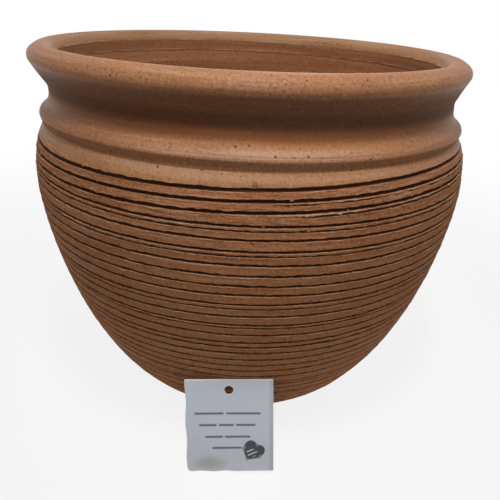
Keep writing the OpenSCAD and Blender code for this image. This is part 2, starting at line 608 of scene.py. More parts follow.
@dataclass(frozen=True)
class WearAndPaintedLight:
    """Where the clay is wiped, where shade and highlight are painted on it, and how strongly: a pair holds
    two ends of a change.
    """

    shoulder: Zone = Zone((177.5, 179))
    bead: Zone = Zone((180, 181), (190, 194))
    crown: Zone = Zone((186, 188.5), (190, 192.5))
    warm_neck: Zone = Zone((191.5, 197), (200, 205))
    dark_neck: Zone = Zone((195, 204.5), (215, 217.8))
    rough_neck: Zone = Zone((196, 202), (210, 216))
    bevel: Zone = Zone((204, 209))
    rim: Zone = Zone((217.5, 219.5))

    # How far the clay is wiped inside and in the band under the bead, and how much less in the neck
    inside_wiped: float = 0.2
    band_wiped: float = 0.25
    neck_rough: float = 0.6

    # How dark the painted shade is: neck from side to front, less on the bevel, the band, crease from front
    # to side
    neck_dark: tuple[float, float] = (0.8, 1.0)
    bevel_light: float = 0.3
    band_dark: float = 0.38
    crease_dark: tuple[float, float] = (0.3, 0.65)
    crease_reach: tuple[float, float] = (-7.0, -0.5)

    # How strong the painted reddish shade is: neck from side to front, and the sides of shoulder, rim and
    # bead
    neck_warm: tuple[float, float] = (0.35, 1.0)
    sides_warm: tuple[float, float, float] = (0.4, 0.4, 0.88)

    # How strong the painted sheen is: outside from side to front, its streaks, and shoulder, crown and rim
    front_sheen: tuple[float, float] = (0.1, 1.0)
    streak: float = 0.5
    streak_mm: float = 0.6
    painted_sheen: tuple[float, float, float] = (0.5, 0.9, 0.3)

    # How strong the painted highlight is on the shoulder and on the roll inside the rim from side to back,
    # and how pale the torn lips are, partly as grain and partly as painted highlight
    shoulder_highlight: float = 0.45
    roll_highlight: tuple[float, float] = (0.3, 0.65)
    roll_fade: float = 1.5
    lip_grain_and_highlight: float = 0.8


@dataclass(frozen=True)
class FiredClay:
    """Fired terracotta: thrown, wiped with a wet sponge above the belly and combed below it, never glazed.

    The wiped skin closes up and takes a faint grainy sheen. The combed belly stays open and matt, with the
    rings and smears that the comb dragged. Grog and burnt-out bits leave dark pits, and the body fires in
    patches of redder and paler brown. A grainy highlight is painted paler on the front, and painted shade
    darkens the clay under the rim, under the bead, in the grooves and above the crease inside the rim, with a
    painted reddish shade on the neck and the sides.
    """

    body: str = "#a46d48"
    skin: str = "#ab774f"
    ruddy: str = "#9a623f"
    pale: str = "#c9a07c"
    # Dark of the pits, also painted as shade in the grooves
    dark: str = "#2c1710"
    deep: str = "#3d2216"
    # Painted shade, painted reddish shade and painted highlight
    shade: str = "#3a261e"
    warm_shade_colour: str = "#7a4522"
    painted_sheen: str = "#bf9c86"
    patch_mm: float = 55.0
    ring_mm: float = 1.9
    ring_stretch: float = 30.0
    # Real grog is finer, and is drawn as coarse as it needs to show
    grit_mm: float = 1.3
    tear_mm: float = 1.4
    tear_reach: float = 0.7
    drag_mm: float = 1.6
    drag_stretch: float = 4.0
    pit_cell_mm: float = 3.0
    pit_bend_mm: float = 0.9
    # Share of cells that hold no pit, in matt and in wiped clay, and the least and largest pit in cells
    pit_free: tuple[float, float] = (0.86, 0.55)
    pit_size: tuple[float, float] = (0.02, 0.22)
    matt: float = 0.86
    wiped: float = 0.45
    specular: float = 0.12

    def material(self) -> bpy.types.Material:
        """Build the material.

        Returns:
            The clay, which reads the marks recess, lip, wiped, hollow, warm, rubbed and torn from the mesh.
        """
        material, tree = new_material("fired_terracotta")
        pattern = self._patterns(tree)
        colour = layer(tree, self.body, pattern, (
            ("wiped", 0.00, 1.00, 1.00, self.skin),
            ("patch", 0.40, 0.66, 0.45, self.ruddy),
            ("ring", 0.52, 0.74, 0.30, self.pale),
            ("ring", 0.48, 0.30, 0.25, self.ruddy),
            ("drag", 0.53, 0.72, 0.22, self.pale),
            ("drag", 0.47, 0.30, 0.55, self.ruddy),
            ("grit", 0.54, 0.76, 0.40, self.pale),
            ("grit", 0.46, 0.26, 0.45, self.deep),
            # Painted highlight on the front
            ("painted_sheen", 0.00, 0.50, 0.45, self.painted_sheen),
            # Painted reddish shade below the neck and on the sides
            ("warm_shade", 0.00, 1.00, 0.70, self.warm_shade_colour),
            # Painted shade under the rim, under the bead and above the crease inside the rim
            ("hollow", 0.00, 1.00, 0.75, self.shade),
            # Torn lips, pale partly as grain and partly as painted highlight
            ("lip", 0.10, 1.00, 0.80, self.pale),
            # Painted shade in the grooves, the rim's line and the knocks
            ("recess_shade", 0.55, 0.95, 0.88, self.dark),
            ("pit", 0.00, 0.05, 0.85, self.dark),
        ))

        # Name of a pattern and the height of its relief in millimetres, negative where it is sunk
        reliefs = (("ring", 0.10), ("drag", 1.2), ("grit", 0.18), ("pit", -1.6))
        normal = None
        for name, relief in reliefs:
            bump = add_node(tree, "ShaderNodeBump", {"invert": relief < 0}, {
                "Strength": 1.0, "Distance": abs(relief) * MM, "Height": pattern[name]})
            if normal is not None:
                tree.links.new(normal, bump.inputs["Normal"])
            normal = bump.outputs[0]

        roughness = add_node(tree, "ShaderNodeMapRange", {}, {
            "Value": pattern["wiped"], "To Min": self.matt, "To Max": self.wiped})
        shader = add_node(tree, "ShaderNodeBsdfPrincipled", {}, {
            "Base Color": colour, "Roughness": roughness.outputs[0], "Normal": normal,
            "Specular IOR Level": self.specular})
        add_node(tree, "ShaderNodeOutputMaterial", {}, {"Surface": shader.outputs[0]})
        return material

    def _patterns(self, tree: bpy.types.NodeTree) -> dict[str, bpy.types.NodeSocket]:
        """Make the patterns that the colour and the relief share.

        Args:
            tree: Node tree of the material.

        Returns:
            Output of each pattern, by name.
        """
        pattern = {}
        for mark in ("recess_shade", "lip", "wiped", "hollow", "warm_shade", "painted_sheen", "torn"):
            pattern[mark] = add_node(tree, "ShaderNodeAttribute", {"attribute_name": mark}).outputs["Fac"]

        # Name of a noise, its grain, how far the wheel drew it out round the pot, and its detail
        place = add_node(tree, "ShaderNodeTexCoord").outputs["Object"]
        noises = (
            ("patch", self.patch_mm, 1.0, 3.0),
            ("ring", self.ring_mm, self.ring_stretch, 2.0),
            ("grit", self.grit_mm, 1.0, 2.0),
            ("tear", self.tear_mm, 1.0, 2.0),
            ("drag", self.drag_mm, self.drag_stretch, 3.0),
        )
        for name, grain, stretch, detail in noises:
            drawn = add_node(tree, "ShaderNodeVectorMath", {"operation": "MULTIPLY"}, {
                0: place, 1: (1 / stretch, 1 / stretch, 1)})
            pattern[name] = add_node(tree, "ShaderNodeTexNoise", {}, {
                "Vector": drawn.outputs[0], "Scale": 1 / (grain * MM), "Detail": detail}).outputs[0]

        # The painted shade in the grooves gets torn edges, the painted sheen breaks up grain by grain, and
        # the comb smeared only the torn lands
        pattern["recess_shade"] = add_node(tree, "ShaderNodeMath", {"operation": "MULTIPLY_ADD"}, {
            0: pattern["tear"], 1: self.tear_reach, 2: pattern["recess_shade"]}).outputs[0]
        pattern["painted_sheen"] = add_node(tree, "ShaderNodeMath", {"operation": "MULTIPLY"}, {
            0: pattern["grit"], 1: pattern["painted_sheen"]}).outputs[0]
        pattern["drag"] = add_node(tree, "ShaderNodeMix", {}, {
            0: pattern["torn"], 2: 0.5, 3: pattern["drag"]}).outputs[0]

        # Some cells hold a pit, more of them in the wiped skin, each with its own size and ragged outline
        bent = add_node(tree, "ShaderNodeTexNoise", {}, {
            "Vector": place, "Scale": 1 / (self.pit_bend_mm * MM), "Detail": 1.0})
        shifted = add_node(tree, "ShaderNodeVectorMath", {"operation": "MULTIPLY_ADD"}, {
            0: bent.outputs[1], 1: (self.pit_bend_mm * MM,) * 3, 2: place})
        cells = add_node(tree, "ShaderNodeTexVoronoi", {}, {
            "Vector": shifted.outputs[0], "Scale": 1 / (self.pit_cell_mm * MM)})
        chance = add_node(tree, "ShaderNodeSeparateColor", {}, {0: cells.outputs["Color"]})
        free = add_node(tree, "ShaderNodeMapRange", {}, {
            "Value": pattern["wiped"], "To Min": self.pit_free[0], "To Max": self.pit_free[1]})
        size = add_node(tree, "ShaderNodeMapRange", {}, {
            "Value": chance.outputs[0], "From Min": free.outputs[0], "From Max": 1.0,
            "To Min": self.pit_size[0], "To Max": self.pit_size[1]})
        pattern["pit"] = add_node(tree, "ShaderNodeMath", {"operation": "SUBTRACT", "use_clamp": True}, {
            0: size.outputs[0], 1: cells.outputs["Distance"]}).outputs[0]
        return pattern


@dataclass
class ClayPot:
    """The pot: one wall of clay, with the crumbs and torn lips that the turning tool left on it."""

    wall: Wall = field(default_factory=Wall)
    finish: FiredClay = FiredClay()
    wear_and_painted_light: WearAndPaintedLight = WearAndPaintedLight()
    front_columns: int = 188
    back_columns: int = 52
    front_half: float = 95.0
    least_gap: float = 0.03
    land_step: float = 3.6

    # Grooves: heights, tilts in degrees with the right side lower where positive, and how unevenly they run
    first_groove: float = 176.5
    gaps: tuple = (5, 5.5, 6.5, 2.5, 4.5, 6, 2.5, 5, 6, 6, 5.5, 6, 3, 5, 6, 2, 5, 6, 3.5, 5, 5.5, 5)
    wide_count: int = 3
    wide_tilt: float = -0.62
    tilted_count: int = 12
    plain_tilt: float = 0.55
    thin_gap: float = 3.0
    lowest_groove: float = 6.0
    wander: float = 0.35
    wander_mm: float = 25.0
    jitter: float = 0.10
    press: float = 0.22
    lip_press: float = 0.6
    lip_whole: float = 0.65
    lip_break: float = 0.9
    hairline_gaps: tuple[float, float] = (-0.5, 0.1)
    groove_edge: float = 1.1
    edge_tear: float = 0.4

    # How far the wall is out of round, and over what length; the same for its wiped and its combed skin; then
    # how torn the low and the high lands between the grooves are, and their lumps
    swell: float = 0.35
    swell_mm: float = 70.0
    uneven: tuple[float, float] = (0.02, 0.10)
    uneven_mm: float = 3.0
    land_tear: tuple[float, float] = (0.25, 1.0)
    land_lump: float = 0.25
    lump_mm: float = 2.2

    # Rim: rise to the right, rise to the back and drop, then its shift, and the lines on it and in it
    rim_tip: tuple[float, float, float] = (-0.0115, -0.0208, -0.4)
    rim_shift: float = -1.6
    rim_line: float = 5.5
    rim_line_depth: float = 0.12
    burr_offset: float = -7.0
    burr_height: float = 0.3
    crease_ridge: float = 0.6

    # Lines inside: pitch, depth, how far each drifts and over what length, and where they begin and end
    throwing_pitch: float = 17.0
    throwing_depth: float = 0.35
    throwing_sway: float = 0.7
    throwing_drift: tuple[float, float] = (2.0, 60.0)
    finger_pitch: float = 5.2
    finger_depth: float = 0.2
    finger_drift: tuple[float, float] = (2.5, 25.0)
    finger_reach: float = 46.0
    finger_fade: float = 10.0
    inside_fade: float = 14.0

    # Angle in degrees, height, half width, half height, depth and darkness of each knock in the clay; the
    # darkness is painted shade
    dents: tuple = (
        (1.3, 178.2, 3.4, 1.3, 1.2, 0.9),
        (-21.0, 221.0, 2.0, 1.5, 0.4, 0.0),
        (38.0, 190.5, 2.0, 1.2, 0.4, 0.0),
    )

    # Flakes: grooves that have them, shares of long and short ones, what is taken off, the largest, the
    # share that lower grooves have, and how shredded they are; then the crumbs
    flake_grooves: int = 14
    flake_columns: int = 1600
    flake_long: float = 0.75
    flake_short: float = 0.45
    flake_less: float = 0.22
    flake_most: float = 1.9
    flake_lower: float = 0.7
    flake_shred: tuple[float, float] = (0.75, 0.7)
    crumb_count: int = 70
    crumb_grooves: int = 9

    # Where the shape leaves the true one, and where the skin changes
    swelling: Zone = Zone((10, 60))
    tipping: Zone = Zone((174, 190))
    shifting: Zone = Zone((198, 216))
    sponged: Zone = Zone((174, 178))
    uncombed: Zone = Zone((176, 178))
    upper_lands: Zone = Zone((140, 165))

    def __post_init__(self) -> None:
        """Lay out the grooves and draw the noise that puts the pot out of true."""
        front = np.linspace(-self.front_half, self.front_half, self.front_columns, endpoint=False)
        back = np.linspace(self.front_half, 360 - self.front_half, self.back_columns, endpoint=False)
        self.turn = np.radians(np.concatenate([front, back]))
        self.grooves = self._lay_grooves()
        self._wander = RingNoise(11, 9, 12)
        self._jitter = RingNoise(12, 70, 64)
        self._press = RingNoise(13, 26, 64)
        self._swell = RingNoise(14, 5, 8)
        self._uneven = RingNoise(15, 24, 97)
        self._tear = RingNoise(16, 420, 61)
        self._flake = RingNoise(17, 130, 61)
        self._shred = RingNoise(19, 800, 61)

    def _lay_grooves(self) -> list[Groove]:
        """List the grooves from the foot upwards.

        Returns:
            The whole rings and the two that die out at the front.
        """
        heights = [self.first_groove]
        while heights[-1] > self.lowest_groove:
            heights.append(heights[-1] - self.gaps[(len(heights) - 1) % len(self.gaps)])
        grooves = [
            Groove(169.6, GrooveKind.HAIRLINE, self.wide_tilt, (12, 75)),
            Groove(163.8, GrooveKind.THIN, self.wide_tilt, (16, 95)),
        ]
        for i, height in enumerate(heights[:-1]):
            if i < self.wide_count:
                grooves.append(Groove(height, GrooveKind.WIDE, self.wide_tilt))
                continue
            thin = heights[i - 1] - height <= self.thin_gap
            tilt = self.plain_tilt if i < self.tilted_count else 0.0
            grooves.append(Groove(height, GrooveKind.THIN if thin else GrooveKind.PLAIN, tilt))
        return sorted(grooves, key=lambda groove: groove.height)

    def _path(self, groove: Groove, turn: Array) -> Array:
        """Places along the wall where a groove runs.

        Args:
            groove: The groove.
            turn: Angles in radians.

        Returns:
            One place for each angle.
        """
        radius = self.wall.point(self.wall.place_at(groove.height))[0]
        height = groove.height - np.radians(groove.tilt) * radius * np.sin(turn)
        height = height + self.wander * self._wander.at(turn, groove.height / self.wander_mm)
        height = height + self.jitter * self._jitter.at(turn, groove.height)
        return self.wall.place_at(height)

    def _cut(self, rings: Rings, groove: Groove) -> None:
        """Add the rings of a groove, and of the land below it.

        Args:
            rings: Rings so far, up to the groove below.
            groove: The groove.
        """
        edge = self.groove_edge
        # Offset from the groove's middle in half widths, share of its depth, share of its lip, whether sharp
        section = ((-1.9, 0.0, 0.0, False), (-edge, 0.0, 1.0, True), (-0.75, 0.62, 0.0, False),
                   (0.0, 1.0, 0.0, False), (0.7, 0.9, 0.0, False), (edge, 0.0, 0.25, True))
        turn, level = self.turn, groove.height
        width, depth, lip = groove.kind.value
        strength = groove.strength(turn)
        if groove.kind is GrooveKind.HAIRLINE:
            strength = strength * smooth_step(*self.hairline_gaps, self._flake.at(turn, level))
        depth = depth * strength * (1 + self.press * self._press.at(turn, level))
        lip = lip * strength * (1 + self.lip_press * self._jitter.at(turn, level + 0.5))
        middle = self._path(groove, turn)
        start = rings.place[-1]
        land = middle + section[0][0] * width / 2 - start
        for share in ((), (0.5,), (0.33, 0.67))[min(int(land.mean() / self.land_step), 2)]:
            rings.add(start + land * share)
        # Each ring of the groove reads rows of the noise of its own
        for i, (offset, deep, raised, sharp) in enumerate(section):
            torn = self.edge_tear * self._tear.at(turn, 7 * level + i) if sharp else 0.0
            broken = np.clip(self.lip_whole + self.lip_break * self._flake.at(turn, 3 * level + i), 0, 1)
            rings.add(middle + offset * width / 2 + torn, lip * raised - depth * deep, deep * strength,
                      raised * strength * broken, sharp)

    def _rings(self) -> Rings:
        """Lay the rings of vertices along the whole section.

        Returns:
            The rings, from the drain hole up the outside and down the inside.
        """
        wall, turn, start = self.wall, self.turn, self.wall.start
        line_place = start["rim"] + self.rim_line
        crease = start["inside"]
        burr_place = crease + self.burr_offset

        # Rows of the noise that break the line on the rim, and the burr and the ridge inside it
        line_row, burr_row, ridge_row = 52.5, 48.5, 50.5
        line = smooth_step(-0.5, 0.4, self._flake.at(turn, line_row))
        burr = self._flake.at(turn, burr_row) + 0.6 * self._tear.at(turn, burr_row)
        burr = smooth_step(-0.35, 0.35, burr)
        ridge = smooth_step(-0.7, 0.2, self._flake.at(turn, ridge_row))

        # Widest gaps between rings: shoulder and step, bead and neck, rim, inside, floor and underside
        fine, plain, broad, inner, flat, hidden = 2.0, 2.4, 3.4, 6.0, 8.0, 9.0
        rings = Rings(len(turn))
        rings.spread(wall, (0, start["belly"], hidden))
        rings.add(start["belly"])
        for groove in self.grooves:
            self._cut(rings, groove)
        rings.spread(
            wall,
            (rings.place[-1].max() + 0.6, start["step"], fine),
            (start["step"], start["bead"], fine),
            (start["bead"], start["neck"], plain),
            (start["neck"], start["rim"], plain),
            (start["rim"], line_place - 0.6, broad),
        )
        # The rim's fine line, sunk and painted dark as shade
        rings.fold(line_place, (-0.35, 0.0, 0.35), -self.rim_line_depth * line, recess_shade=0.4 * line)
        rings.spread(wall, (line_place + 0.9, burr_place - 1.2, broad))
        rings.fold(burr_place, (-0.6, -0.2, 0.2, 0.6), self.burr_height * burr, lip=1.2 * burr)
        rings.spread(wall, (burr_place + 1.2, crease - 1.0, broad))
        rings.fold(crease, (-0.7, 0.0, 0.7), self.crease_ridge * ridge, lip=ridge, sharp=True)
        rings.spread(
            wall,
            (crease + 1.4, crease + self.finger_reach, self.finger_pitch / 3),
            (crease + self.finger_reach, start["floor"], inner),
            (start["floor"], start["drain"], flat),
            (start["drain"], wall.length, inner),
        )
        return rings

    def _surface(self, place: Array, lift: Array, turn: Array) -> Array:
        """Points of the wall, out of true as the real one is.

        Args:
            place: Places along the section.
            lift: Distances off the wall, outwards.
            turn: Angles in radians.

        Returns:
            Points in millimetres, in the last axis.
        """
        point, normal = self.wall.point(place), self.wall.normal(place)
        radius = point[..., 0] + normal[..., 0] * lift
        height = point[..., 1] + normal[..., 1] * lift
        radius = radius + self.swelling.at(height) * self.swell * self._swell.at(turn, height / self.swell_mm)
        across, along = radius * np.sin(turn), -radius * np.cos(turn)
        right, back, drop = self.rim_tip
        tipped = self.tipping.at(height) * (right * across + back * along + drop)
        aside = self.shifting.at(height) * self.rim_shift
        return np.stack([across + aside, along, height + tipped], axis=-1)

    def _relief(self, skin: Skin, rings: Rings) -> tuple[Array, Array, Array]:
        """Work out how the clay stands off the true wall.

        Args:
            skin: Grid of the wall.
            rings: Its rings, with the grooves and folds.

        Returns:
            Distances off the wall, how far each place is sunk, and how far the comb tore it.
        """
        turn, place, height, depth = skin.turn, skin.place, skin.height, skin.depth
        combed = 1 - self.sponged.at(height)
        torn = skin.outside * (1 - self.uncombed.at(height))
        torn = torn * between(self.land_tear, self.upper_lands.at(height))
        uneven = between(self.uneven, combed) * self._uneven.at(turn, place / self.uneven_mm)
        lump = self.land_lump * torn * self._flake.at(turn, place / self.lump_mm)
        lift = np.array(rings.lift) + skin.outside * uneven + lump
        recess_shade = np.array(rings.recess_shade)
        for angle, level, wide, tall, deep, dark in self.dents:
            aside = (np.remainder(turn - np.radians(angle) + np.pi, TURN) - np.pi) * self.wall.rim_r / wide
            knock = skin.outside * np.exp(-aside ** 2 - ((height - level) / tall) ** 2)
            lift = lift - deep * knock
            recess_shade = np.maximum(recess_shade, dark * knock)

        phase = TURN * place / self.throwing_pitch + self.throwing_sway * np.sin(turn)
        drift, length = self.throwing_drift
        throwing = np.sin(phase + drift * self._swell.at(turn, place / length))
        drift, length = self.finger_drift
        fingers = np.sin(TURN * place / self.finger_pitch + drift * self._swell.at(turn, place / length))
        fingers = fingers * (1 - smooth_step(self.finger_reach - self.finger_fade, self.finger_reach, depth))
        thrown = self.throwing_depth * throwing + self.finger_depth * fingers
        return lift + skin.inside * smooth_step(0, self.inside_fade, depth) * thrown, recess_shade, torn

    def _marks(self, skin: Skin, rings: Rings, recess_shade: Array, torn: Array) -> dict[str, Array]:
        """Mark where the finish changes.

        Args:
            skin: Grid of the wall.
            rings: Its rings, with the torn lips.
            recess_shade: How far each place is sunk and painted dark as shade.
            torn: How far the comb tore it.

        Returns:
            Values of each mark, one per vertex.
        """
        turn, place, height, facing = skin.turn, skin.place, skin.height, skin.facing
        outer, start, wear_and_painted_light = skin.outer, self.wall.start, self.wear_and_painted_light
        shoulder = wear_and_painted_light.shoulder.at(height) * (place < start["step"])
        bead = wear_and_painted_light.bead.at(height) * (place >= start["bead"])
        crown = wear_and_painted_light.crown.at(height) * facing ** 5
        rim = wear_and_painted_light.rim.at(height)
        sponged = self.sponged.at(height) * (1 - wear_and_painted_light.neck_rough * outer * wear_and_painted_light.rough_neck.at(height))
        wiped = np.where(skin.outside, sponged, wear_and_painted_light.inside_wiped * skin.inside)

        # Painted shade under the rim, under the bead and above the crease inside the rim
        hollow = outer * wear_and_painted_light.dark_neck.at(height) * between(wear_and_painted_light.neck_dark, facing)
        hollow = hollow * (1 - wear_and_painted_light.bevel_light * wear_and_painted_light.bevel.at(height))
        crease = smooth_step(*wear_and_painted_light.crease_reach, skin.depth) * (skin.depth <= 0)
        crease = crease * between(wear_and_painted_light.crease_dark, np.sin(turn) ** 2)
        hollow = np.maximum(np.where(skin.band, wear_and_painted_light.band_dark, hollow), crease)

        # Painted reddish shade below the neck, and on the sides of the shoulder, the rim and the bead
        neck = wear_and_painted_light.warm_neck.at(height) * between(wear_and_painted_light.neck_warm, facing)
        sides = [share * part for share, part in zip(wear_and_painted_light.sides_warm, (shoulder, rim, bead))]
        warm_shade = outer * np.maximum(neck, np.maximum.reduce(sides) * (1 - facing ** 2))

        # Painted highlight in streaks: a sheen on the front, and a paler roll inside the rim, most at the
        # back
        streak = 1 + wear_and_painted_light.streak * self._uneven.at(turn, place / wear_and_painted_light.streak_mm)
        front_sheen = outer * between(wear_and_painted_light.front_sheen, facing ** 3) * streak
        painted_sheen = [share * part for share, part in zip(wear_and_painted_light.painted_sheen, (shoulder, crown, rim))]
        painted_sheen = np.maximum.reduce(painted_sheen) * front_sheen
        roll = 1 - smooth_step(-wear_and_painted_light.roll_fade, wear_and_painted_light.roll_fade, skin.depth - self.burr_offset)
        roll = roll * between(wear_and_painted_light.roll_highlight, np.clip(-np.cos(turn), 0, 1)) * (skin.outside & ~outer) * streak
        painted_highlight = np.maximum(roll, wear_and_painted_light.shoulder_highlight * shoulder * front_sheen)
        # Lips are pale partly as torn grain and partly as painted highlight; the roll and the shoulder are
        # painted highlight
        return {
            "recess_shade": recess_shade,
            "lip": np.maximum(wear_and_painted_light.lip_grain_and_highlight * np.array(rings.lip), painted_highlight),
            "wiped": np.where(skin.band, wear_and_painted_light.band_wiped, wiped * (1 - recess_shade)),
            "hollow": hollow,
            "warm_shade": warm_shade,
            "painted_sheen": np.where(skin.band, 0.0, painted_sheen),
            "torn": torn,
        }

    def build(self) -> list[bpy.types.Object]:
        """Make the pot's meshes and dress them.

        Returns:
            The wall, and the flakes and crumbs on it.
        """
        clay = self.finish.material()
        pieces = [self._build_wall(), self._build_flakes()]
        for piece in pieces:
            piece.data.materials.append(clay)
            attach(piece, "pot")
        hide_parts("pot_body")
        return pieces

    def _build_wall(self) -> bpy.types.Object:
        """Make the wall as one closed grid.

        Returns:
            The wall's mesh object.
        """
        rings = self._rings()
        place = np.array(rings.place)
        apart = self.least_gap * np.arange(len(place))[:, None]
        place = np.maximum.accumulate(place - apart, axis=0) + apart
        skin = Skin(self.wall, place, np.broadcast_to(self.turn, place.shape))
        lift, recess_shade, torn = self._relief(skin, rings)
        points = self._surface(place, lift, skin.turn).reshape(-1, 3)
        marks = self._marks(skin, rings, recess_shade, torn)

        rows, columns = place.shape
        row, column = np.divmod(np.arange(rows * columns), columns)
        corners = [(column, row), (column + 1, row), (column + 1, row + 1), (column, row + 1)]
        uvs = np.stack([np.column_stack([c / columns, r / rows]) for c, r in corners], axis=1)
        piece = make_piece("clay_wall", points, ring_faces(rows, columns).tolist(), marks, uvs)

        ends = np.empty(2 * len(piece.data.edges), int)
        piece.data.edges.foreach_get("vertices", ends)
        start, end = np.divmod(ends, columns)[0].reshape(-1, 2).T
        crisp = piece.data.attributes.new("sharp_edge", "BOOLEAN", "EDGE")
        crisp.data.foreach_set("value", np.array(rings.sharp)[start] & (start == end))
        return piece

    def _build_flakes(self) -> bpy.types.Object:
        """Make the torn clay along the upper grooves, and the crumbs that stayed on the wall.

        Returns:
            One mesh object of small closed bits.
        """
        # Number of a groove from the top, where more clay was torn off it in degrees, and how much more
        torn = ((1, 9, 40, 0.6), (1, -64, -61, 1.4), (2, 5, 26, 1.2), (2, 40, 60, 0.5), (3, -30, -12, 0.5))
        turn = np.arange(self.flake_columns) / self.flake_columns * TURN
        angle = (np.degrees(turn) + 180) % 360 - 180
        strands = []
        whole = [groove for groove in self.grooves if groove.span is None][::-1][:self.flake_grooves]
        for number, groove in enumerate(whole):
            width, _, lip = groove.kind.value
            row = number + 0.5
            size = self.flake_long * self._flake.at(turn, row) + self.flake_short * self._tear.at(turn, row)
            size = size - self.flake_less
            for place, start, end, more in torn:
                if place == number:
                    stretch = smooth_step(start - 2, start, angle) * (1 - smooth_step(end, end + 2, angle))
                    size = size + more * stretch
            size = np.clip(size, 0, self.flake_most)
            size = size * (1.0 if number < self.wide_count + 2 else self.flake_lower)
            whole_share, shred = self.flake_shred
            size = size * np.clip(whole_share + shred * self._shred.at(turn, row), 0, None)
            edge = self._path(groove, turn) - self.groove_edge * width / 2 - 0.3 * size
            strands += self._strand(turn, edge + 0.25 * self._tear.at(turn, row + 30), size, lip)

        points, faces, lips, total = [], [], [], 0
        # Flakes and crumbs are paler, partly as torn grain and partly as painted highlight
        for bits, pale in ((strands, 0.8), (self._crumbs(whole), 0.3)):
            for bit_points, bit_faces in bits:
                faces += [[total + corner for corner in face] for face in bit_faces]
                points.append(bit_points)
                lips.append(np.full(len(bit_points), pale))
                total += len(bit_points)
        piece = make_piece("clay_flakes", np.concatenate(points), faces, {"lip": np.concatenate(lips)})
        shell = bmesh.new()
        shell.from_mesh(piece.data)
        bmesh.ops.recalc_face_normals(shell, faces=shell.faces)
        shell.to_mesh(piece.data)
        shell.free()
        return piece

    def _strand(self, turn: Array, place: Array, size: Array, lift: float) -> list[tuple[Array, list]]:
        """Make the flakes of one ring, each where the size stays above nothing.

        Args:
            turn: Angles in radians, all round.
            place: Places along the wall, one for each angle.
            size: Sizes in millimetres, one for each angle.
            lift: Height of the wall's own lip there.

        Returns:
            Points and faces of each flake.
        """
        # Section of a flake of full size: along the wall, and off it
        section = np.array([(-0.6, -0.3), (-0.3, 0.12), (0.05, 0.34), (0.36, 0.22), (0.45, -0.3)])
        least, corners = 0.06, len(section)
        turn, place, size = (np.roll(values, -int(np.argmin(size))) for values in (turn, place, size))
        there = size > least
        firsts = np.flatnonzero(there & ~np.roll(there, 1))
        lasts = np.flatnonzero(there & ~np.roll(there, -1))
        flakes = []
        for first, last in zip(firsts, lasts):
            run = slice(first, last + 1)
            rows = last + 1 - first
            if rows < 3:
                continue
            places = place[run, None] + section[:, 0] * size[run, None]
            lifts = lift + section[:, 1] * size[run, None]
            points = self._surface(places, lifts, np.broadcast_to(turn[run, None], places.shape))
            faces = ring_faces(rows, corners, close_rows=False).tolist()
            faces += [list(range(corners)), list(range((rows - 1) * corners, rows * corners))]
            flakes.append((points.reshape(-1, 3), faces))
        return flakes

    def _crumbs(self, grooves: list[Groove]) -> list[tuple[Array, list]]:
        """Make the crumbs of clay that stuck to the wall.

        Args:
            grooves: Whole grooves from the top down, near which most crumbs lie.

        Returns:
            Points and faces of each crumb.
        """
        random = np.random.default_rng(18)
        # Angle in degrees, height and size of the crumbs that stand out
        spots = [(8.8, 172.0, 0.7), (-62.0, 171.5, 1.1), (3.2, 159.6, 0.5), (21.0, 166.2, 0.4)]
        # Least and most angle, drop below a groove and size of the others
        least, most = (-180, -0.2, 0.25), (180, 2.2, 0.5)
        for _ in range(self.crumb_count):
            groove = grooves[random.integers(0, self.crumb_grooves)]
            angle, drop, size = random.uniform(least, most)
            spots.append((angle, groove.height - drop, size))
        ball = bmesh.new()
        bmesh.ops.create_icosphere(ball, subdivisions=2, radius=1.0)
        round_points = np.array([vertex.co for vertex in ball.verts])
        faces = [[vertex.index for vertex in face.verts] for face in ball.faces]
        ball.free()
        # How far a crumb is drawn out round the pot, up the wall and off it
        around, up, off = 1.5, 0.8, 0.6
        crumbs = []
        for angle, height, size in spots:
            lump = round_points * random.uniform(0.7, 1.15, (len(round_points), 1)) * size
            place = self.wall.place_at(height)
            turn = np.radians(angle) + lump[:, 0] * around / self.wall.rim_r
            crumbs.append((self._surface(place + up * lump[:, 1], off * lump[:, 2], turn), faces))
        return crumbs


@dataclass(frozen=True)
class CoatedCard:
    """Coated card: white pulp board with a smooth pale face, printed in dark grey and smudged at a corner.

    The coating is even and almost matt, with a faint mottle of fibres, and it greys where hands held it.
    Painted shade darkens its right edge and lower half, and a painted highlight lightens the top of its face.
    """

    face: str = "#d3d9e3"
    fibre: str = "#c6ccd6"
    pulp: str = "#eeece8"
    ink: str = "#26282f"
    soil_and_shade: str = "#a3a29f"
    # Real fibres are finer, and are drawn as coarse as they need to show
    fibre_mm: float = 1.6
    fibre_relief_mm: float = 0.02
    roughness: float = 0.6

    def material(self) -> bpy.types.Material:
        """Build the material.

        Returns:
            The card, which reads the marks ink, soil and pulp from the mesh.
        """
        material, tree = new_material("coated_card")
        place = add_node(tree, "ShaderNodeTexCoord").outputs["Object"]
        fibre = add_node(tree, "ShaderNodeTexNoise", {}, {
            "Vector": place, "Scale": 1 / (self.fibre_mm * MM), "Detail": 3.0})
        pattern = {"fibre": fibre.outputs[0]}
        for mark in ("soil_and_shade", "pulp", "ink"):
            pattern[mark] = add_node(tree, "ShaderNodeAttribute", {"attribute_name": mark}).outputs["Fac"]
        colour = layer(tree, self.face, pattern, (
            ("fibre", 0.0, 1.0, 0.8, self.fibre),
            ("soil_and_shade", 0.0, 1.0, 1.0, self.soil_and_shade),
            # Pale pulp at the cut edges, and a painted highlight at the top of the face
            ("pulp", 0.0, 1.0, 0.9, self.pulp),
            ("ink", 0.0, 1.0, 1.0, self.ink),
        ), "LINEAR")
        bump = add_node(tree, "ShaderNodeBump", {}, {
            "Strength": 1.0, "Distance": self.fibre_relief_mm * MM, "Height": fibre.outputs[0]})
        shader = add_node(tree, "ShaderNodeBsdfPrincipled", {}, {
            "Base Color": colour, "Roughness": self.roughness, "Normal": bump.outputs[0]})
        add_node(tree, "ShaderNodeOutputMaterial", {}, {"Surface": shader.outputs[0]})
        return material


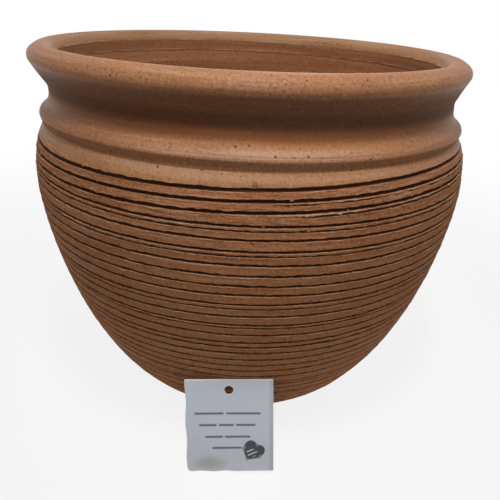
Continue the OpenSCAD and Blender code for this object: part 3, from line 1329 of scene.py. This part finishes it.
@dataclass
class CardTag:
    """The loose card: a punched rectangle that stands on its left corner and leans on the belly."""

    width: float = 50.0
    height: float = 57.0
    thickness: float = 1.0
    blunt_r: float = 2.4
    edge_r: float = 0.3
    hole_r: float = 2.5
    hole_drop: float = 6.5
    lean: float = 10.5
    tilt: float = 2.5
    bow: float = 0.9
    ripple: float = 0.15
    wear_reach: float = 8.0
    cell: float = 0.33
    finish: CoatedCard = CoatedCard()

    def _frame(self) -> Matrix:
        """Work out where the card stands.

        Returns:
            Matrix from the card's own millimetres, with its lower left corner at zero, to the part's.
        """
        low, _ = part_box("hang_tag")
        lean, tilt = np.radians([self.lean, self.tilt])
        left = low.x / MM + self.height * np.sin(tilt)
        near = low.y / MM + self.thickness * np.cos(lean)
        matrix = Matrix.Translation((left, near, 0))
        for angle, axis in ((-lean, "X"), (-tilt, "Y"), (np.pi / 2, "X")):
            matrix = matrix @ Matrix.Rotation(angle, 4, axis)
        return matrix

    def _grid(self) -> tuple[Array, Array, list[Array]]:
        """Lay the face of the card as a grid with the hole let into it.

        Returns:
            Points of the face, its quads, and its two edges as rings of point numbers, the outer edge first.
        """
        inset = self.edge_r
        counts = [int(round(side / self.cell)) for side in (self.width, self.height)]
        axes = [np.linspace(inset, side - inset, n + 1) for side, n in zip((self.width, self.height), counts)]
        x, y = (a.ravel() for a in np.meshgrid(*axes, indexing="xy"))
        hole_c = np.array([self.width / 2, self.height - self.hole_drop])
        nearest = [axis[np.argmin(abs(axis - c))] for axis, c in zip(axes, hole_c)]
        offset = np.column_stack([x - nearest[0], y - nearest[1]])
        square = np.abs(offset).max(axis=1)
        half_cells = round(self.hole_r / self.cell)
        half = half_cells * (axes[0][1] - axes[0][0])
        distance = np.maximum(np.linalg.norm(offset, axis=1), 1e-9)
        round_off = offset * ((self.hole_r + self.edge_r) / half * square / distance)[:, None]
        keep = smooth_step(half, 2.2 * half, square)[:, None]
        points = np.column_stack([x, y]) * keep + (nearest + round_off) * (1 - keep)
        corner = np.arange(len(x)).reshape(counts[1] + 1, counts[0] + 1)
        corners = [corner[:-1, :-1], corner[:-1, 1:], corner[1:, 1:], corner[1:, :-1]]
        quads = np.stack(corners, axis=-1).reshape(-1, 4)
        middle = np.abs(offset[quads].mean(axis=1)).max(axis=1)
        quads = quads[middle > half]
        rim = [corner[0, :-1], corner[:-1, -1], corner[-1, :0:-1], corner[:0:-1, 0]]
        near = np.argwhere(np.isclose(square, half, atol=0.2 * self.cell)).ravel()
        angle = np.arctan2(offset[near, 1], offset[near, 0])
        return points, quads, [np.concatenate(rim), near[np.argsort(-angle)]]

    def build(self) -> bpy.types.Object:
        """Make the card's mesh and dress it.

        Returns:
            The card.
        """
        face, quads, edges = self._grid()
        count = len(face)
        half, edge = self.thickness / 2, self.edge_r
        back = np.column_stack([face, np.full(count, -half)])
        front = np.column_stack([face, np.full(count, half)])
        points = [front, back]
        faces = [quads, quads[:, ::-1] + count]
        total = 2 * count
        for ring in edges:
            outline = face[ring]
            along = np.roll(outline, -1, axis=0) - np.roll(outline, 1, axis=0)
            outward = np.column_stack([along[:, 1], -along[:, 0]])
            outward /= np.linalg.norm(outward, axis=1, keepdims=True)
            loops = [ring]
            for angle in np.radians([55, 20, -20, -55]):
                flat = outline + outward * edge * np.cos(angle)
                level = np.sign(angle) * (half - edge) + edge * np.sin(angle)
                points.append(np.column_stack([flat, np.full(len(ring), level)]))
                loops.append(total + np.arange(len(ring)))
                total += len(ring)
            loops.append(ring + count)
            for upper, lower in zip(loops, loops[1:]):
                faces.append(np.column_stack([upper, lower, np.roll(lower, -1), np.roll(upper, -1)]))
        points = np.concatenate(points)
        # Pale pulp on the cut edges all round, and a painted highlight along the top of the face
        cut = smooth_step(self.height - 0.9, self.height - 0.5, points[:, 1])
        cut[2 * count:] = 1.0
        printed = points[:, 2] > half - 1e-6
        marks = {"ink": self._ink(points) * printed, "soil_and_shade": self._soil_and_shade(points), "pulp": cut}
        points[:, :2] += self._wear(points)
        points[:, 2] += half + self._bow(points)
        matrix = np.array(self._frame())
        placed = points @ matrix[:3, :3].T + matrix[:3, 3]
        piece = make_piece("card_tag", placed, np.concatenate(faces).tolist(), marks)
        piece.data.materials.append(self.finish.material())
        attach(piece, "tag")
        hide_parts("hang_tag")
        return piece

    def _bow(self, points: Array) -> Array:
        """Soft curl of the card, towards the viewer, in millimetres."""
        x, y = points[:, 0] / self.width, points[:, 1] / self.height
        return self.bow * np.sin(np.pi * y) * (0.6 + 0.4 * x) + self.ripple * np.sin(5 * x + 3 * y)

    def _wear(self, points: Array) -> Array:
        """Scuffed outline: a blunt lower left corner, and edges that wave near it.

        Args:
            points: Points of the card in its own millimetres.

        Returns:
            Move of each point along the card, inwards.
        """
        corner = np.maximum(self.blunt_r - points[:, :2], 0)
        reach = np.maximum(np.linalg.norm(corner, axis=1), 1e-9)
        blunt = corner * (1 - corner.max(axis=1) / reach)[:, None]
        x, y = points[:, 0], points[:, 1]
        left = (1 - smooth_step(0, self.wear_reach, x)) * (0.3 + 0.3 * np.sin(0.27 * y + 2.4))
        bottom = (1 - smooth_step(0, self.wear_reach, y)) * (1 - smooth_step(20, 40, x))
        bottom = bottom * (0.25 + 0.25 * np.sin(0.45 * x + 4.0))
        return blunt + np.column_stack([left, bottom])

    def _ink(self, points: Array) -> Array:
        """Print on the face: rows of plain bars and a hatched heart.

        Args:
            points: Points of the card in its own millimetres.

        Returns:
            Share of ink at each point.
        """
        # Distance of each row below the top edge, and where its bars begin and end
        rows = (
            (20.4, (5.8, 21.2, 23.8, 42.2)),
            (27.5, (8.4, 17.2, 19.6, 26.9, 29.3, 39.2)),
            (34.8, (11.7, 20.6, 22.9, 36.2)),
            (41.8, (15.6, 31.2)),
        )
        bar_r, soft, strength = 0.65, 0.25, 0.8
        x, y = points[:, 0], points[:, 1]
        ink = np.zeros(len(points))
        for drop, ends in rows:
            for start, end in zip(ends[::2], ends[1::2]):
                along = x - np.clip(x, start, end)
                distance = np.hypot(along, y - (self.height - drop))
                ink = np.maximum(ink, 1 - smooth_step(bar_r - soft, bar_r + soft, distance))
        return np.maximum(strength * ink, self._heart(x, y))

    def _heart(self, x: Array, y: Array) -> Array:
        """Share of ink of a plain heart, tilted and hatched.

        Args:
            x: Places across the card.
            y: Places up the card.

        Returns:
            Share of ink at each place.
        """
        centre, scale, tilt, hatch, strength = (37.6, 12.2), 5.4, np.radians(-33), 2.5, 0.95
        u = ((x - centre[0]) * np.cos(tilt) + (y - centre[1]) * np.sin(tilt)) / scale
        v = ((y - centre[1]) * np.cos(tilt) - (x - centre[0]) * np.sin(tilt)) / scale
        body = (u * u + v * v - 1) ** 3 - u * u * v ** 3
        inside = 1 - smooth_step(-0.04, 0.06, body)
        outline = inside * smooth_step(-0.42, -0.22, body)
        lines = smooth_step(-0.75, -0.35, np.sin(TURN * (y - 0.45 * x) / hatch))
        solid = smooth_step(0.25, 0.5, v)
        return np.maximum(outline, inside * np.maximum(lines, solid)) * strength

    def _soil_and_shade(self, points: Array) -> Array:
        """Grey smudge near the lower left corner, and painted shade: a darker right edge and a duller lower
        half.

        Args:
            points: Points of the card in its own millimetres.

        Returns:
            Share of soil at each point.
        """
        x, y = points[:, 0], points[:, 1]
        centre, reach = (13.5, 5.5), (12.5, 6.5)
        spread = np.hypot((x - centre[0]) / reach[0], (y - centre[1]) / reach[1])
        spread = spread + 0.06 * np.sin(0.5 * x + 1.3 * np.sin(0.5 * y))
        smudge = 0.6 * (1 - smooth_step(0.1, 1.1, spread))
        # Painted shade: a darker strip along the right edge, and a duller lower half
        right = 0.45 * smooth_step(self.width - 3.2, self.width - 0.6, x)
        return np.maximum(smudge, right) + 0.22 * (1 - smooth_step(0, 40, y))


@dataclass
class Studio:
    """Pale floor, one lamp high in front, surroundings that light the sides, and the photograph's camera."""

    floor_half_m: float = 3.0
    floor_colour: str = "#eaeae8"
    floor_glow: float = 0.85
    floor_fade_m: tuple[float, float] = (0.2, 0.75)
    ambient_front: float = 0.05
    ambient_side: float = 0.56
    ambient_from: tuple[float, float] = (0.1, 0.8)
    key_distance_m: float = 0.8
    key_elevation: float = 63.0
    key_size_m: tuple[float, float] = (0.07, 0.34)
    key_spread: float = 38.0
    key_watts: float = 0.275
    key_aim_m: tuple[float, float, float] = (0.012, -0.025, 0.16)
    camera_mm: tuple[float, float, float] = (0.0, -412.0, 268.7)
    camera_pitch: float = 23.28
    camera_yaw: float = -0.32
    camera_roll: float = 2.14
    lens_mm: float = 47.09

    def build(self) -> None:
        """Set up the floor, the light and the camera."""
        bpy.context.scene.view_settings.view_transform = "Standard"
        self._build_floor()
        self._build_world()
        self._build_lamp()
        self._build_camera()

    def _seen(self, tree: bpy.types.NodeTree) -> bpy.types.NodeSocket:
        """Whether a ray shows the background to the camera, itself or in a reflection or glass.

        Args:
            tree: Node tree that needs the answer.

        Returns:
            Output that is 1 for such a ray and 0 for light on the object.
        """
        path = add_node(tree, "ShaderNodeLightPath")
        seen = path.outputs["Is Camera Ray"]
        for ray in ("Is Glossy Ray", "Is Transmission Ray"):
            both = add_node(tree, "ShaderNodeMath", {"operation": "MAXIMUM"}, {0: seen, 1: path.outputs[ray]})
            seen = both.outputs[0]
        return seen

    def _build_floor(self) -> None:
        """Lay the floor, which glows white where it is looked at and keeps the shadow."""
        half = self.floor_half_m / MM
        corners = np.array([(-half, -half, 0), (half, -half, 0), (half, half, 0), (-half, half, 0)])
        floor = make_piece("studio_floor", corners, [(0, 1, 2, 3)])
        material, tree = new_material("matt_paper")
        paper = add_node(tree, "ShaderNodeBsdfDiffuse", {}, {"Color": linear(self.floor_colour)})
        glow = add_node(tree, "ShaderNodeEmission", {}, {"Strength": 1.0})
        place = add_node(tree, "ShaderNodeTexCoord").outputs["Object"]
        away = add_node(tree, "ShaderNodeVectorMath", {"operation": "LENGTH"}, {0: place})
        near, far = self.floor_fade_m
        lit = add_node(tree, "ShaderNodeMapRange", {"interpolation_type": "SMOOTHSTEP"}, {
            "Value": away.outputs["Value"], "From Min": near, "From Max": far, "To Min": self.floor_glow})
        share = add_node(tree, "ShaderNodeMath", {"operation": "MULTIPLY"}, {
            0: self._seen(tree), 1: lit.outputs[0]})
        mix = add_node(tree, "ShaderNodeMixShader", {}, {
            0: share.outputs[0], 1: paper.outputs[0], 2: glow.outputs[0]})
        add_node(tree, "ShaderNodeOutputMaterial", {}, {"Surface": mix.outputs[0]})
        floor.data.materials.append(material)

    def _build_world(self) -> None:
        """Make the surroundings white to look at and, as light, dim in front and brighter elsewhere."""
        world = bpy.data.worlds.new("studio")
        world.use_nodes = True
        tree = world.node_tree
        tree.nodes.clear()
        towards = add_node(tree, "ShaderNodeTexCoord").outputs["Generated"]
        side = add_node(tree, "ShaderNodeSeparateXYZ", {}, {0: towards})
        aside = add_node(tree, "ShaderNodeMath", {"operation": "ABSOLUTE"}, {0: side.outputs["X"]})
        away = add_node(tree, "ShaderNodeMath", {"operation": "MAXIMUM"}, {
            0: aside.outputs[0], 1: side.outputs["Y"]})
        dim = add_node(tree, "ShaderNodeMapRange", {"interpolation_type": "SMOOTHSTEP"}, {
            "Value": away.outputs[0], "From Min": self.ambient_from[0], "From Max": self.ambient_from[1],
            "To Min": self.ambient_front, "To Max": self.ambient_side})
        strength = add_node(tree, "ShaderNodeMapRange", {}, {
            "Value": self._seen(tree), "To Min": dim.outputs[0], "To Max": 1.0})
        sky = add_node(tree, "ShaderNodeBackground", {}, {
            "Color": (1, 1, 1, 1), "Strength": strength.outputs[0]})
        add_node(tree, "ShaderNodeOutputWorld", {}, {"Surface": sky.outputs[0]})
        bpy.context.scene.world = world

    def _build_lamp(self) -> None:
        """Hang the lamp high in front of the pot."""
        lamp = bpy.data.lights.new("ceiling_lamp", "AREA")
        lamp.shape = "ELLIPSE"
        lamp.size, lamp.size_y = self.key_size_m
        lamp.energy = self.key_watts
        lamp.spread = np.radians(self.key_spread)
        holder = bpy.data.objects.new("ceiling_lamp", lamp)
        elevation = np.radians(self.key_elevation)
        aim = Vector(self.key_aim_m)
        offset = Vector((0, -np.cos(elevation), np.sin(elevation))) * self.key_distance_m
        turn = offset.to_track_quat("Z", "Y").to_matrix().to_4x4()
        holder.matrix_world = Matrix.Translation(aim + offset) @ turn
        bpy.context.scene.collection.objects.link(holder)

    def _build_camera(self) -> None:
        """Put the camera where the photograph was taken."""
        data = bpy.data.cameras.new("camera")
        data.lens = self.lens_mm
        camera = bpy.data.objects.new("camera", data)
        yaw, tip, roll = np.radians([self.camera_yaw, 90 - self.camera_pitch, self.camera_roll])
        matrix = Matrix.Translation(Vector(self.camera_mm) * MM)
        for angle, axis in ((yaw, "Z"), (tip, "X"), (roll, "Z")):
            matrix = matrix @ Matrix.Rotation(angle, 4, axis)
        camera.matrix_world = matrix
        bpy.context.scene.collection.objects.link(camera)
        bpy.context.scene.camera = camera


def main() -> None:
    """Build the studio, the pot and the tag, and report each piece."""
    logging.basicConfig(level=logging.INFO)
    Studio().build()
    for piece in [*ClayPot().build(), CardTag().build()]:
        mesh = piece.data
        log.info("%s: %d vertices, %d faces", piece.name, len(mesh.vertices), len(mesh.polygons))


if __name__ == "__main__":
    main()
